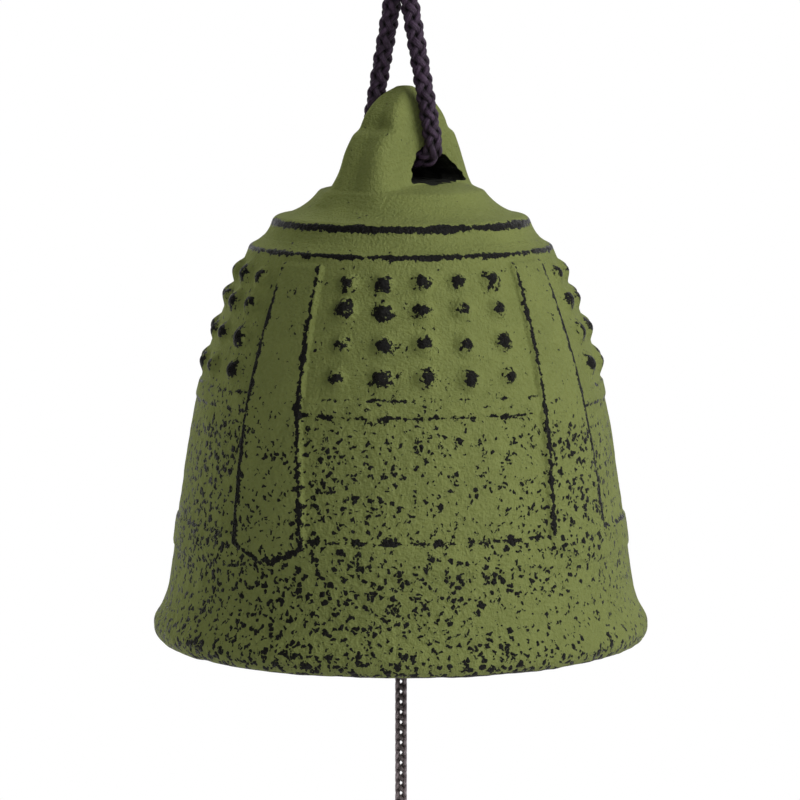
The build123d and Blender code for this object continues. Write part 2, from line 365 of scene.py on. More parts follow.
def band_depth(across, h):
    """How far inside a band a point of the wall lies: the nearer of its side and its pointed foot."""
    side = band_width(h) - across
    foot_x, rise = BAND_FOOT[0], BAND_FOOT[1] - BAND_TIP
    foot = ((h - BAND_TIP) * foot_x - across * rise) / np.hypot(foot_x, rise)
    return np.minimum(side, foot)


def stud_places(outline):
    """The outline's points at the heights of the stud rows."""
    outer = outline[: nearest(outline, BODY_FOOT)]
    return [outer[np.argmin(np.abs(outer[:, 1] - height))] for height in STUD_ROWS]


def stud_distances(angle, r, s, row_s):
    """Distance along the wall from each stud's middle, with every stud a little off its place and size."""
    rng = np.random.default_rng(11)
    for at_s, column, panel in product(row_s, range(STUD_COLUMNS), range(QUARTERS)):
        turn = np.pi / 2 * (panel + 0.5) + STUD_TURN * (column - 2) + rng.normal(0, 0.004)
        off = (angle - turn + np.pi) % (2 * np.pi) - np.pi
        distance = np.hypot(r * off, s - at_s + rng.normal(0, 0.1))
        yield distance, rng.uniform(0.85, 1.12), rng.uniform(0.6, 1.15)


def wall_rows(outline):
    """Each row's place along the outline, radius, height and outward normal."""
    marks = [nearest(outline, point) for point, _ in WALL_ROWS]
    runs = [np.linspace(a, b, n + 1)[1:] for a, b, (_, n) in zip(marks, marks[1:], WALL_ROWS[1:])]
    rows = np.concatenate([[marks[0]], *runs])
    index = np.arange(len(outline))
    r, h = (np.interp(rows, index, outline[:, k]) for k in range(2))
    slope = np.gradient(outline, axis=0)
    along = np.stack([np.interp(rows, index, slope[:, k]) for k in range(2)], -1)
    along = unit(along)
    return rows, r, h, np.stack([-along[:, 1], along[:, 0]], -1)


def wall_columns(r, h):
    """Angles of the points, bunched along the bands' edges, and how far each lies from its band's middle."""
    edge = band_width(h) / np.maximum(r, 1)
    near = 0.8 / np.maximum(r, 1)
    eighth = np.full_like(h, np.pi / 4)
    knots = np.stack([-eighth, -edge - near, near - edge, edge - near, edge + near, eighth], -1)
    which = np.repeat(np.arange(5), WALL_COLUMNS)
    share = np.concatenate([np.arange(n) / n for n in WALL_COLUMNS])
    quarter = knots[:, which] + (knots[:, which + 1] - knots[:, which]) * share
    fade = np.cos(2 * quarter) ** 2
    leans = [np.radians(np.interp(h, [15, 33, 52], [*lean, 0]))[:, None] * fade for lean in BAND_LEANS]
    angle = np.concatenate([quarter + q * np.pi / 2 + lean for q, lean in enumerate(leans)], axis=1)
    return angle, np.tile(r[:, None] * np.abs(quarter), QUARTERS)


def relief_and_wear(outline, settings, plain, angle, r, h, s, depth, right_band):
    """How far bands, belts and studs stand out, and how worn their edges and tips are."""
    top_fade = smoothstep(BAND_TOP[1] - h, -0.3, 0.5)
    raised = settings.band_rise / MM * smoothstep(depth, -0.55, 0.15) * top_fade
    worn = np.interp(h, [14, 30, 50], [0.36, 0.33, 0.24]) + 0.16 * lumps(plain, 3, 4)
    worn -= np.abs(depth - BAND_LINE)
    worn -= 0.6 * right_band * smoothstep(h, 19, 15)
    worn = np.where(top_fade > 0.1, worn, UNWORN)
    for low, high, bare_low, bare_high in BELTS:
        inside = np.minimum(h - low, high - h) + 0 * angle
        raised = np.maximum(raised, settings.belt_rise / MM * smoothstep(inside, -0.3, 0.35))
        bare_edge = np.where(h < (low + high) / 2, bare_low, bare_high)
        broken = 0.34 * lumps(plain, 1.7, 5) + bare_edge - np.abs(inside)
        worn = np.maximum(worn, np.where(depth < 0.3, broken, UNWORN))
    row_s = [OUTLINE_STEP * nearest(outline, place) for place in stud_places(outline)]
    for distance, size, bare in stud_distances(angle, r, s, row_s):
        bump = np.clip(1 - (distance / (STUD_REACH * size)) ** 2, 0, 1) ** 2
        raised = np.maximum(raised, settings.stud_rise / MM * size * bump)
        worn = np.maximum(worn, 0.42 * (1.12 * bare - distance))
    for point, half in (((20.35, 53.05), 0.42), (LIP_EDGE, 0.3)):
        line = half + 0.18 * lumps(plain, 5, 6) - np.abs(s - OUTLINE_STEP * nearest(outline, point))
        worn = np.maximum(worn, line)
    lip_s, mouth_s = (OUTLINE_STEP * nearest(outline, point) for point in (LIP_EDGE, MOUTH))
    return raised, np.maximum(worn, 2 * smoothstep(s, lip_s, mouth_s) - 0.3)


def wall_speckle(plain, angle, h, depth, right_band):
    """How dense the bare spots are: fewer by the studs and inside the bands, but not the right one."""
    speckle = np.interp(h, SPECKLE_HEIGHTS, SPECKLES)
    speckle = speckle + 0.14 * lumps(plain, 9, 7) + 0.12 * np.cos(angle - radians(150))
    in_band = right_band * np.interp(h, [20, 40], [0.2, 0.42]) - 0.15
    return speckle + in_band * smoothstep(depth, 0.5, 1.5)


def wall_grid(outline, settings):
    """Points of the wall on a grid of outline rows and angle columns, with their wear.

    A point is the outline's point turned about the axis and pushed out along the normal by the relief:
    bands and belts are flat steps, a stud is rise * (1 - (d / reach)^2)^2, and the sand leaves lumps.
    """
    rows, r, h, normal = wall_rows(outline)
    angle, across = wall_columns(r, h)
    mouth_row = nearest(outline, MOUTH)
    outside = smoothstep(rows, mouth_row, mouth_row - 60)[:, None]
    r, h, s = r[:, None], h[:, None], rows[:, None] * OUTLINE_STEP
    plain = turned(r, angle, h)
    depth = band_depth(across, h)
    right_band = smoothstep(np.cos(angle + np.pi / 2), 0.9, 0.95)
    raised, worn = relief_and_wear(outline, settings, plain, angle, r, h, s, depth, right_band)
    rough = np.interp(h, [0, 34, 37, 53], [1.0, 1.0, 0.35, 0.1])
    waves = lumps(plain, 14, 1) * 0.10 + rough * (lumps(plain, 2.6, 2) * 0.07 + lumps(plain, 1.3, 3) * 0.05)
    outward = turned(normal[:, :1], angle, normal[:, 1:])
    points = plain + ((raised + waves) * outside)[..., None] * outward
    return points, worn, wall_speckle(plain, angle, h, depth, right_band), mouth_row, rows


def make_wall(outline, settings, paint, bare):
    """The wall as one closed surface from the hidden cone over the outside, lip and hollow to the pole."""
    points, worn, speckle, mouth_row, rows = wall_grid(outline, settings)
    columns = points.shape[1]
    pole = np.zeros((1, columns, 3)) + (0, 0, JOIN_TOP)
    points = np.concatenate([pole, points])
    worn, speckle = (np.concatenate([f[:1], f]) for f in (worn, speckle))
    faces = grid_faces(len(points), columns, True)
    inner = np.repeat(np.concatenate([[0], rows[:-1] > mouth_row]), columns)
    fields = {"worn_mm": worn, "speckle": speckle}
    return add_piece("bell_wall", points, faces, [paint, bare], fields, inner)


def lug_radius(angle, h):
    """How far the lug reaches from the axis: the nearer of its end and its crowned side, corners blended.

    A section's side is y = middle - (middle - end) * (x / width)^2, and its width steps in at the ledge.
    """
    shoulder, head = (spline_through(rows, np.linspace(0, 1, 400)) for rows in (SHOULDER, HEAD))
    low, high = np.minimum(h, SHOULDER[-1][0]), np.clip(h, HEAD[0][0], HEAD[-1][0])
    ledge = LEDGE - 0.5 * np.sin(angle) ** 2
    share = smoothstep(h, ledge - 0.2, ledge + 0.4)
    width, end, middle = (
        np.interp(low, shoulder[:, 0], shoulder[:, k]) * (1 - share)
        + np.interp(high, head[:, 0], head[:, k]) * share for k in (1, 2, 3)
    )
    c, s = np.abs(np.cos(angle)), np.abs(np.sin(angle)) + 1e-9
    dent = 0.55 * smoothstep(h, LEDGE - 0.1, LEDGE + 0.5) * (1 - smoothstep(h, LEDGE + 0.9, LEDGE + 3.2))
    width = width - dent * np.clip(1 - (s / c * width / end) ** 2, 0, 1)
    crown = (middle - end) / width**2 * c**2
    side = 2 * middle / (s + np.sqrt(s**2 + 4 * crown * middle))
    front = width / np.maximum(c, 1e-9)
    corner = (4 * front * side / (front + side) ** 2) ** 12
    return (front**-4 + side**-4) ** (-1 / 4) * (1 + 0.16 * corner)


def make_crown(outline, paint, hole_skin):
    """The crown and lug as one closed surface of angle columns and level rows.

    Each row's radius is the soft maximum of the dome's radius and the lug's, which leaves a fillet.
    """
    runs = [np.linspace(low, high, count)[:-1] for low, high, count in CROWN_ROWS]
    heights = np.concatenate([*runs, [CROWN_ROWS[-1][1]]])
    angle = circle(CROWN_COLUMNS)[None, :]
    h = heights[:, None]
    upper = outline[: nearest(outline, SPLIT) + 1][::-1]
    dome = np.interp(h, upper[:, 1], upper[:, 0]) * (h < 61.5)
    shares, shifts = (0.1, 0.2, 0.4, 0.2, 0.1), (-0.5, -0.25, 0, 0.25, 0.5)
    foot = SHOULDER[0][0]
    lug = sum(share * lug_radius(angle, np.maximum(h + shift, foot)) for share, shift in zip(shares, shifts))
    lug = lug * smoothstep(h, 56.6, 57.8)
    blend = np.interp(h, [58.0, 59.0, 61.6, 62.4], [0.0, 1.0, 1.0, 0.0]) * (1.4 + 2.0 * np.sin(angle) ** 2)
    gap = np.clip(1 - np.abs(dome - lug) / np.maximum(blend, 1e-6), 0, 1)
    radius = np.maximum(dome, lug) + blend * gap**2 / 4
    lean = 0.4 * smoothstep(h, 60.5, 64.0) + 0.35 * smoothstep(h, 65.0, 70.0)
    points = turned(radius, angle, h)
    points[..., 0] += lean
    swell = (lumps(points, 6, 8) * 0.12 + lumps(points, 2.2, 9) * 0.035) * smoothstep(h, 54.3, 55.5)
    points = points + turned(swell, angle, 0 * swell)
    ring = 0.48 + 0.2 * lumps(points, 5, 10) - np.hypot(radius - 17.25, h - 56.45)
    worn = np.where(h < 57.8, ring, UNWORN)
    speckle = np.interp(h, [54, 57, 62, 75], [0.0, 0.15, 0.3, 0.3]) + 0.25 * lumps(points, 7, 12)
    last = points[-1:].mean(axis=1, keepdims=True)
    rings = ((0.7, 0.06), (0.35, 0.1), (0, 0.11))
    tip = [last + (points[-1:] - last) * share + (0, 0, lift) for share, lift in rings]
    pole = np.zeros((1, CROWN_COLUMNS, 3)) + (0, 0, JOIN_TOP)
    points = np.concatenate([pole, points, *tip])
    worn, speckle = (np.concatenate([f[:1], f, *[f[-1:]] * 3]) for f in (worn, speckle))
    faces = grid_faces(len(points), CROWN_COLUMNS, True)
    crown = add_piece("bell_crown", points, faces, [paint], {"worn_mm": worn, "speckle": speckle})
    cut(crown, hole_cutter(hole_skin))
    return crown


def hole_cutter(skin):
    """The hole's shape: a blurred outline carried along Y, wider at both mouths and lumpy."""
    section = evenly([*HOLE_FLOOR, *HOLE_RIGHT, *HOLE_LEFT, HOLE_FLOOR[0]], 0.15)[:-1]
    count = len(section)
    section = blurred(np.concatenate([section] * 3), 4)[count: 2 * count]
    y = np.linspace(-11, 11, 90)[:, None]
    wide = 1 + 0.03 * smoothstep(np.abs(y), 2.5, 6.0)
    out = section - HOLE_CENTRE
    points = np.stack([out[:, 0] * wide, y + 0 * out[:, 0], out[:, 1] * wide], -1)
    points[..., ::2] *= (1 + 0.075 * lumps(points, 0.8, 13) + 0.05 * lumps(points, 1.8, 14))[..., None]
    points[..., 0] += HOLE_CENTRE[0] + HOLE_SKEW * y
    points[..., 2] += HOLE_CENTRE[1]
    end_y = 11.2
    ends = [[[HOLE_CENTRE[0] + end_y * HOLE_SKEW * k, end_y * k, HOLE_CENTRE[1]]] for k in (-1, 1)]
    middle = np.array(ends) + np.zeros((2, count, 3))
    points = np.concatenate([middle[:1], points, middle[1:]])
    return add_piece("hole_cutter", points, grid_faces(len(points), count, True), [skin])


# Cords

def route_line(route, step):
    """Points every step mm along the smooth spline that has the route's points as its controls."""
    curve = bpy.data.curves.new("route", "CURVE")
    curve.dimensions = "3D"
    spline = curve.splines.new("NURBS")
    spline.points.add(len(route) - 1)
    for point, (x, y, h) in zip(spline.points, route):
        point.co = (x * MM, y * MM, (h - HOOK) * MM, 1)
    spline.order_u = 3
    spline.use_endpoint_u = True
    spline.resolution_u = 24
    holder = bpy.data.objects.new("route", curve)
    bpy.context.collection.objects.link(holder)
    bpy.context.view_layer.update()
    mesh = bpy.data.meshes.new_from_object(holder.evaluated_get(bpy.context.evaluated_depsgraph_get()))
    line = np.empty(len(mesh.vertices) * 3)
    mesh.vertices.foreach_get("co", line)
    bpy.data.objects.remove(holder)
    bpy.data.curves.remove(curve)
    bpy.data.meshes.remove(mesh)
    return evenly(line.reshape(-1, 3) / MM + (0, 0, HOOK), step)


def mirrored(half):
    """A route as (x, y, height) from its first half as (y, height), mirrored about the XZ plane."""
    return [(0, y, h) for y, h in half] + [(0, -y, h) for y, h in half[::-1]]


def directions(line, closed=False):
    """Unit directions along a line of points."""
    if closed:
        ahead = np.roll(line, -1, axis=0) - np.roll(line, 1, axis=0)
    else:
        ahead = np.gradient(line, axis=0)
    return unit(ahead)


def strand_tubes(line, side, offsets, radius, sides, closed=False, flat=1.0):
    """Tubes round several strands of one cord, pressed flat towards the cord's middle by a factor.

    A strand's middle is the line's point plus its offset across the cord, which is given for every point
    as (along side, square to side). Returns points, faces and, for every point, the mm along its strand,
    the share around it and the distance from the cord's middle.
    """
    ahead = directions(line, closed)
    side = unit(side - (side * ahead).sum(1, keepdims=True) * ahead)
    square = np.cross(ahead, side)
    all_points, all_faces, along, around, proud = [], [], [], [], []
    turn = circle(sides)
    count = 0
    for offset in offsets:
        middle = line + side * offset[:, :1] + square * offset[:, 1:]
        lead = directions(middle, closed)
        first = side if flat == 1 else middle - line
        first = unit(first - (first * lead).sum(1, keepdims=True) * lead)
        second = np.cross(lead, first)
        ring = flat * first[:, None] * np.cos(turn)[:, None] + second[:, None] * np.sin(turn)[:, None] / flat
        points = middle[:, None] + radius * ring
        length = np.concatenate([[0], np.cumsum(np.linalg.norm(np.diff(middle, axis=0), axis=1))])
        held = line
        if closed:
            faces = grid_faces(len(points) + 1, sides, True) % (len(points) * sides)
        else:
            start, end = (np.repeat(middle[at][None, None], sides, 1) for at in (0, -1))
            points = np.concatenate([start, points, end])
            faces = grid_faces(len(points), sides, True)
            length, held = np.pad(length, 1, "edge"), np.pad(line, ((1, 1), (0, 0)), "edge")
        all_points.append(points.reshape(-1, 3))
        all_faces.append(faces + count)
        along.append(np.repeat(length + STRAND_SHIFT * len(along), sides))
        around.append(np.tile(np.arange(sides) / sides, len(length)))
        proud.append(np.linalg.norm(points.reshape(-1, 3) - np.repeat(held, sides, 0), axis=1))
        count += len(points) * sides
    return (np.concatenate(part) for part in (all_points, all_faces, along, around, proud))


def round_braid(count, turns, radius, strand):
    """Offsets of eight strands of a round braid, four turning each way.

    A strand's distance from the middle swings by a cosine with four periods a turn, and in step with its
    angle, so that it goes over one strand and under the next, and all crossings on a side lean one way.
    """
    phase = 2 * np.pi * turns * np.linspace(0, 1, count)
    swing = 0.5 * strand
    for turn, start in product((1, -1), np.arange(4) * np.pi / 2):
        angle = turn * phase + start
        out = radius - strand - swing + turn * swing * np.cos(4 * angle)
        yield np.stack([out * np.cos(angle), out * np.sin(angle)], -1)


def flat_braid(count, step, half_width, strand, pitch):
    """Offsets of four strands of a flat open braid: across by a sine, up and down three times as often."""
    phase = np.pi / 2 * np.arange(count) * step / pitch
    for start in np.arange(4) * np.pi / 2:
        across = (half_width - strand) * np.sin(np.pi / 2 * np.sin(phase + start))
        lift = strand * 1.25 * np.cos(3 * (phase + start))
        yield np.stack([across, lift], -1)


def cord_piece(node, body, finish, line, side, offsets, strand, closed=False, flat=1.0):
    """A cord's or knot's node as a mesh of its strands, in a finish that is a material and its slot."""
    material, slot = finish
    made = strand_tubes(line, np.array(side, float), list(offsets), strand, 12, closed, flat)
    points, faces, along, around, proud = made
    top = np.percentile(proud, 98)
    # proud is how far a point stands from the cord's middle; the yarn paints shade where it is low
    fields = {"along_mm": along, "around": np.abs(2 * around - 1), "proud": np.clip(proud / top, 0, 1)}
    piece = add_piece(node + "_braid", points, faces, [material], fields)
    carry(piece, body, node, slot)
    return piece


def declare(exit, length, diameter, with_pieces):
    """Only turns the pieces that a cord runs between into a list; nothing is declared."""
    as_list(with_pieces)


def knot_line(height, ring, reach, lift, count):
    """A tight overhand knot's middle line: two turns about the axis with three crossings."""
    t = circle(count)
    out = ring + reach * np.cos(3 * t)
    return np.stack([out * np.cos(2 * t), out * np.sin(2 * t), height + lift * np.sin(3 * t)], -1)


# Finishes

def add(tree, kind, links=None, **settings):
    """Adds a shader node, sets its properties or inputs by name, and links its inputs."""
    made = tree.nodes.new("ShaderNode" + kind)
    for key, value in settings.items():
        if hasattr(made, key):
            setattr(made, key, value)
        else:
            made.inputs[key.replace("_", " ")].default_value = value
    for key, source in (links or {}).items():
        tree.links.new(source, made.inputs[key])
    return made


def feed(shader, name, source):
    """Links a node's output to one of the shader's inputs."""
    shader.id_data.links.new(source, shader.inputs[name])


def new_finish(name, **settings):
    """A material with one Principled shader; settings are the shader's own values."""
    material = bpy.data.materials.new(name)
    material.use_nodes = True
    tree = material.node_tree
    tree.nodes.clear()
    shader = add(tree, "BsdfPrincipled", **settings)
    add(tree, "OutputMaterial", {"Surface": shader.outputs[0]})
    return material, tree, shader


def grain(tree, size_mm, detail=2.0, rough=0.5, distortion=0.0, stretch=(1, 1, 1)):
    """Noise on Object coordinates whose bumps are about size_mm apart."""
    where = add(tree, "TexCoord").outputs["Object"]
    if stretch != (1, 1, 1):
        where = add(tree, "Mapping", {"Vector": where}, Scale=stretch).outputs[0]
    made = add(tree, "TexNoise", {"Vector": where}, Scale=1000 / size_mm, Detail=detail,
               Roughness=rough, Distortion=distortion)
    return made.outputs["Fac"]


def calc(tree, operation, *values):
    """A Math node; each value is a number or another node's output."""
    made = add(tree, "Math", operation=operation)
    for socket, value in zip(made.inputs, values):
        if isinstance(value, (int, float)):
            socket.default_value = value
        else:
            tree.links.new(value, socket)
    return made.outputs[0]


def times(tree, first, second):
    return calc(tree, "MULTIPLY", first, second)


def centred(tree, value, swing):
    """Turns noise of 0 to 1 into one that swings evenly about 0."""
    return times(tree, calc(tree, "SUBTRACT", value, 0.5), swing)


def step_up(tree, value, low, high, to_low=0.0, to_high=1.0):
    """Maps a value between low and high to one between two others."""
    return add(tree, "MapRange", {"Value": value}, From_Min=low, From_Max=high, To_Min=to_low,
               To_Max=to_high).outputs[0]


def blend(tree, share, first, second):
    """Mixes two colours by a share; each is an sRGB hex or another node's output."""
    made = add(tree, "Mix", {0: share}, data_type="RGBA")
    for socket, colour in ((made.inputs[6], first), (made.inputs[7], second)):
        if isinstance(colour, str):
            socket.default_value = linear(colour)
        else:
            tree.links.new(colour, socket)
    return made.outputs[2]


def bumped(tree, shader, height_mm):
    """Feeds a height in mm to the shader's normal."""
    bump = add(tree, "Bump", {"Height": height_mm}, Distance=MM, Strength=1.0)
    feed(shader, "Normal", bump.outputs[0])


def read_field(tree, name):
    """A number field of the mesh's points, by name."""
    return add(tree, "Attribute", attribute_name=name).outputs["Fac"]


def painted_iron(colours):
    """Sand-cast iron, brushed with matt paint and rubbed through: a chalky green skin with a fine sandy
    grain, broken by smooth near-black iron along edges, on stud tips and on the sand's high spots."""
    material, tree, shader = new_finish("sand_cast_iron_with_rubbed_matt_paint")
    worn_mm, speckle = read_field(tree, "worn_mm"), read_field(tree, "speckle")
    where = add(tree, "TexCoord").outputs["Object"]
    fine, coarse = centred(tree, grain(tree, 0.7, 3, 0.6), 1.5), centred(tree, grain(tree, 2.4, 1), 0.6)
    ragged = calc(tree, "ADD", fine, coarse)
    edge = step_up(tree, calc(tree, "ADD", worn_mm, ragged), -0.03, 0.03)
    swirl = add(tree, "TexNoise", {"Vector": where}, Scale=1000 / 0.75, Detail=1.0)
    shift = add(tree, "VectorMath", {0: swirl.outputs["Color"]}, operation="MULTIPLY_ADD")
    shift.inputs[1].default_value = (0.0014,) * 3
    tree.links.new(where, shift.inputs[2])
    cells = add(tree, "TexVoronoi", {"Vector": shift.outputs[0]}, Scale=1000 / 0.95)
    luck = add(tree, "SeparateColor", {"Color": cells.outputs["Color"]}).outputs[0]
    limit = calc(tree, "SUBTRACT", times(tree, speckle, 0.50), times(tree, luck, 0.21))
    inside = calc(tree, "SUBTRACT", limit, cells.outputs["Distance"])
    spots = step_up(tree, inside, -0.035, 0.035)
    bare = calc(tree, "MAXIMUM", edge, spots)
    feed(shader, "Specular IOR Level", step_up(tree, bare, 0, 1, 0.4, 0.12))
    cloudy = step_up(tree, grain(tree, 5, 3), 0.35, 0.65)
    dusty = step_up(tree, grain(tree, 0.5, 2), 0.35, 0.65)
    paint = blend(tree, cloudy, hex_of(colours.paint_dark), hex_of(colours.paint))
    paint = blend(tree, times(tree, dusty, 0.3), paint, "#7b844c")
    feed(shader, "Base Color", blend(tree, bare, paint, hex_of(colours.iron)))
    sheen = step_up(tree, grain(tree, 0.5, 2), 0.35, 0.65, 0.25, 0.6)
    roughness = calc(tree, "MAXIMUM", step_up(tree, bare, 0, 1, 0.8, 0.2), sheen)
    feed(shader, "Roughness", roughness)
    bulge = times(tree, calc(tree, "MAXIMUM", calc(tree, "ADD", inside, 0.15), 0), 0.35)
    pebbles = times(tree, grain(tree, 1.3, 2), calc(tree, "MAXIMUM", speckle, 0.2))
    pebbles = times(tree, pebbles, 0.55)
    height = calc(tree, "ADD", bulge, pebbles)
    height = calc(tree, "ADD", height, times(tree, grain(tree, 0.42, 3, 0.65), 0.38))
    height = calc(tree, "SUBTRACT", height, times(tree, bare, 0.05))
    bumped(tree, shader, height)
    return material


def bare_iron(name, colour, rust, size_mm, depth_mm, rough):
    """Unpainted sand-cast iron: dark oxide with the sand's pits and a little brown rust."""
    material, tree, shader = new_finish(name, Specular_IOR_Level=0.25)
    patches = step_up(tree, grain(tree, 3.5, 4, 0.6), 0.48, 0.62)
    feed(shader, "Base Color", blend(tree, patches, colour, rust))
    pits = grain(tree, size_mm, 3, 0.6)
    feed(shader, "Roughness", step_up(tree, pits, 0.3, 0.7, rough - 0.1, rough + 0.1))
    bumped(tree, shader, times(tree, pits, depth_mm))
    return material


def drawn_wire():
    """Drawn steel wire browned by the hot iron: smooth, dull and dark."""
    material, tree, shader = new_finish("drawn_steel_wire_darkened", Metallic=0.9, Roughness=0.45)
    tint = step_up(tree, grain(tree, 0.8, 3), 0.4, 0.6)
    feed(shader, "Base Color", blend(tree, tint, "#4a423b", "#2c2622"))
    return material


def yarn(name, light, dark, painted_shade, fibre_mm):
    """Plied rayon yarn: fine filaments lie along each strand, so that it has soft lengthwise streaks,
    and a painted shade darkens it where a strand dives under the next and little light reaches it."""
    material, tree, shader = new_finish(name, Roughness=0.62, Specular_IOR_Level=0.3)
    along = times(tree, read_field(tree, "along_mm"), 0.9)
    turn = calc(tree, "ADD", times(tree, read_field(tree, "around"), 9.0), along)
    place = add(tree, "CombineXYZ", {"X": turn, "Y": times(tree, along, 0.25)})
    streak = add(tree, "TexNoise", {"Vector": place.outputs[0]}, Scale=1, Detail=2).outputs["Fac"]
    fine = grain(tree, fibre_mm, 2)
    both = calc(tree, "ADD", times(tree, streak, 0.7), times(tree, fine, 0.3))
    mixed = step_up(tree, both, 0.35, 0.65)
    # painted shade: darker where a strand lies low under the next, by how near it lies to the cord's middle
    painted_shade_share = step_up(tree, read_field(tree, "proud"), 0.66, 0.93)
    tone = blend(tree, painted_shade_share, painted_shade, blend(tree, mixed, dark, light))
    feed(shader, "Base Color", tone)
    bumped(tree, shader, times(tree, mixed, 0.08))
    return material


def paper_finish():
    """Handmade card paper: warm off-white, matt, with long soft fibres and faint clouds in its thickness."""
    material, tree, shader = new_finish("handmade_card_paper", Roughness=0.9)
    fibres = step_up(tree, grain(tree, 1.2, 3, 0.6, 1.5, (1, 1, 0.25)), 0.52, 0.7)
    clouds = step_up(tree, grain(tree, 9, 3), 0.35, 0.65)
    colour = blend(tree, clouds, "#ece4d2", "#f3ecdd")
    colour = blend(tree, times(tree, fibres, 0.5), colour, "#dccfb4")
    feed(shader, "Base Color", colour)
    bumped(tree, shader, times(tree, grain(tree, 0.6, 3), 0.03))
    return material


def pale_floor():
    """Pale plain floor, matt, with very faint wide clouds."""
    material, tree, shader = new_finish("pale_floor", Roughness=0.9)
    cloud = step_up(tree, grain(tree, 60, 2), 0.3, 0.7)
    feed(shader, "Base Color", blend(tree, cloud, "#ececea", "#f2f2f0"))
    return material


# Settings

def hex_of(colour):
    """Red, green and blue from 0 to 1 as an sRGB hex colour."""
    return "#" + "".join(f"{round(c * 255):02x}" for c in colour)


def colour_setting(name, description, default):
    return FloatVectorProperty(
        name=name, description=description, size=3, subtype="COLOR_GAMMA", default=default, min=0, max=1)


def length_setting(name, description, default):
    return FloatProperty(name=name, description=description, unit="LENGTH", default=default)


class WindBellSettings(bpy.types.PropertyGroup):
    """Colours and sizes that can be changed in the sidebar"""

    paint: colour_setting("Paint", "Colour of the paint as it is seen, in sRGB", (0.438, 0.472, 0.236))
    paint_dark: colour_setting("Paint, thin", "Colour where the paint is thin, in sRGB", (0.41, 0.445, 0.216))
    iron: colour_setting("Worn iron", "Colour of the bare iron, in sRGB", (0.065, 0.061, 0.055))
    band_rise: length_setting("Band height", "How far the upright bands stand out", 0.0005)
    belt_rise: length_setting("Belt height", "How far the belts stand out", 0.00025)
    stud_rise: length_setting("Stud height", "How far the studs stand out", 0.00095)
    braid_lay: length_setting("Braid lay", "Length of thick cord in which a strand turns once", 0.0096)
    eyelet_pitch: length_setting("Eyelet pitch", "Distance between the openings along the thin cord", 0.0014)
    paper_bend: length_setting("Paper bend", "How far the paper strip bows out", 0.0012)
    knot_points: IntProperty(
        name="Knot points", description="Points along the thick knot's line", default=260, min=60)


class WINDBELL_OT_casting(bpy.types.Operator):
    """Make the bell's wall, crown, lug and hole, painted and worn"""

    bl_idname = "windbell.casting"
    bl_label = "Bell casting"

    def execute(self, context):
        settings = context.scene.wind_bell
        outline = casting_outline()
        paint = painted_iron(settings)
        inside = bare_iron("unpainted_cast_iron_oxide", "#2a2622", "#3d2c20", 0.8, 0.12, 0.7)
        skin = bare_iron("core_sand_skin_in_the_hole", "#0e0f0a", "#16180e", 0.5, 0.25, 0.85)
        wall = make_wall(outline, settings, paint, inside)
        crown = make_crown(outline, paint, skin)
        for piece in (wall, crown):
            carry(piece, "bell", "bell", "bell_iron")
        return {"FINISHED"}


class WINDBELL_OT_ironwork(bpy.types.Operator):
    """Give the clapper and its eye their metal finishes"""

    bl_idname = "windbell.ironwork"
    bl_label = "Clapper and eye"

    def execute(self, context):
        dark = bare_iron("lacquered_cast_iron", "#1f1c1a", "#2b211b", 0.9, 0.08, 0.5)
        for node, material in (("clapper", dark), ("clapper_eye", drawn_wire())):
            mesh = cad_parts[node].data
            mesh.materials.clear()
            mesh.materials.append(material)
        return {"FINISHED"}


